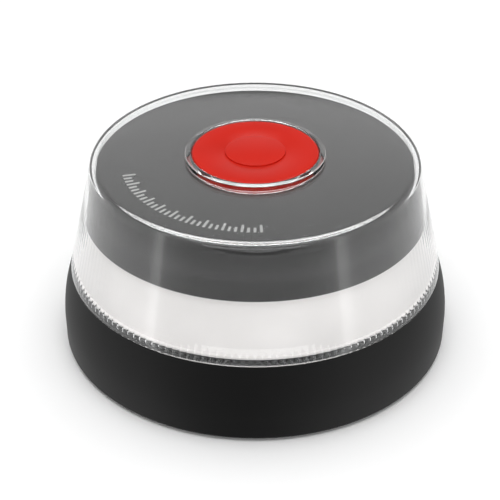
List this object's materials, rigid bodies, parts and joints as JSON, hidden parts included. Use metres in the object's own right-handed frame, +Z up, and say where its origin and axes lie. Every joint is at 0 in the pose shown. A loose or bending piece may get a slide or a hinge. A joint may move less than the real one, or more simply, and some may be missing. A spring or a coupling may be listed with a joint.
{
  "type": "emergency beacon",
  "caption": "Round magnetic emergency beacon: black puck base, clear fluted dome over a white light ring and grey cap, red push button in a clear collar.",
  "frame": {"origin": "on the ground plane, on the lamp's axis, at the centre of the foot pad's ring", "axes": "+Z up along the lamp's axis, -Y towards the viewer of the front, +X to the right"},
  "size_m": [0.0922, 0.0922, 0.0482],
  "materials": {
    "soft_touch_black": "soft-touch matte black",
    "dark_grey_plastic": "satin dark grey",
    "clear_polycarbonate": "clear, polished",
    "red_button_plastic": "satin red",
    "white_diffuser_plastic": "satin white",
    "black_rubber": "matte rubber",
    "zinc_plated_steel": "zinc plated",
    "nickel_contact": "nickel plated spring steel",
    "circuit_board": "green solder mask",
    "led_package": "white package with yellow phosphor",
    "battery_sleeve": "plain printed sleeve, no lettering",
    "antenna_ceramic": "bare ceramic with a silvered patch",
    "lead_insulation": "insulated wire"
  },
  "bodies": {
    "lamp": {"base_housing": "soft_touch_black", "foot_pad": "black_rubber", "magnet_1": "zinc_plated_steel", "magnet_2": "zinc_plated_steel", "battery_cell_1": "battery_sleeve", "battery_cell_2": "battery_sleeve", "battery_cell_3": "battery_sleeve", "battery_cell_4": "battery_sleeve", "contact_positive": "nickel_contact", "contact_negative": "nickel_contact", "contact_bridge_1": "nickel_contact", "contact_bridge_2": "nickel_contact", "contact_bridge_3": "nickel_contact", "contact_spring_1": "nickel_contact", "contact_spring_2": "nickel_contact", "contact_spring_3": "nickel_contact", "contact_spring_4": "nickel_contact", "positive_lead": "lead_insulation", "negative_lead": "lead_insulation", "chassis": "white_diffuser_plastic", "led_strip": "circuit_board", "led_01": "led_package", "led_02": "led_package", "led_03": "led_package", "led_04": "led_package", "led_05": "led_package", "led_06": "led_package", "led_07": "led_package", "led_08": "led_package", "led_09": "led_package", "led_10": "led_package", "diffuser_ring": "white_diffuser_plastic", "main_pcb": "circuit_board", "cellular_module": "nickel_contact", "gnss_antenna": "antenna_ceramic", "switch_body": "soft_touch_black", "dome_lens": "clear_polycarbonate", "dome_seal": "black_rubber", "inner_cap": "dark_grey_plastic", "button_retainer": "soft_touch_black", "button_spring": "nickel_contact", "case_screw_1": "zinc_plated_steel", "case_screw_2": "zinc_plated_steel", "case_screw_3": "zinc_plated_steel", "case_screw_4": "zinc_plated_steel", "chassis_screw_1": "zinc_plated_steel", "chassis_screw_2": "zinc_plated_steel", "chassis_screw_3": "zinc_plated_steel", "chassis_screw_4": "zinc_plated_steel", "pcb_screw_1": "zinc_plated_steel", "pcb_screw_2": "zinc_plated_steel", "pcb_screw_3": "zinc_plated_steel"},
    "button": {"power_button": "red_button_plastic", "button_seal": "black_rubber"},
    "switch": {"switch_plunger": "soft_touch_black"},
    "door": {"battery_door": "soft_touch_black", "battery_door_gasket": "black_rubber", "door_screw_1": "zinc_plated_steel", "door_screw_2": "zinc_plated_steel"}
  },
  "joints": [
    {"name": "button_press", "type": "slide", "parent": "lamp", "child": "button", "axis": [0, 0, -1], "range_m": [0, 0.00075], "stiffness_N_per_m": 3000, "springref_m": -0.0004, "deforming": ["button_spring"]},
    {"name": "switch_click", "type": "slide", "parent": "lamp", "child": "switch", "axis": [0, 0, -1], "range_m": [0, 0.0006]},
    {"name": "battery_door_release", "type": "slide", "parent": "lamp", "child": "door", "axis": [0, 0, -1], "range_m": [0, 0.02]}
  ],
  "couplings": [
    {"joint": "switch_click", "follows": "button_press", "ratio": 0.66}
  ]
}
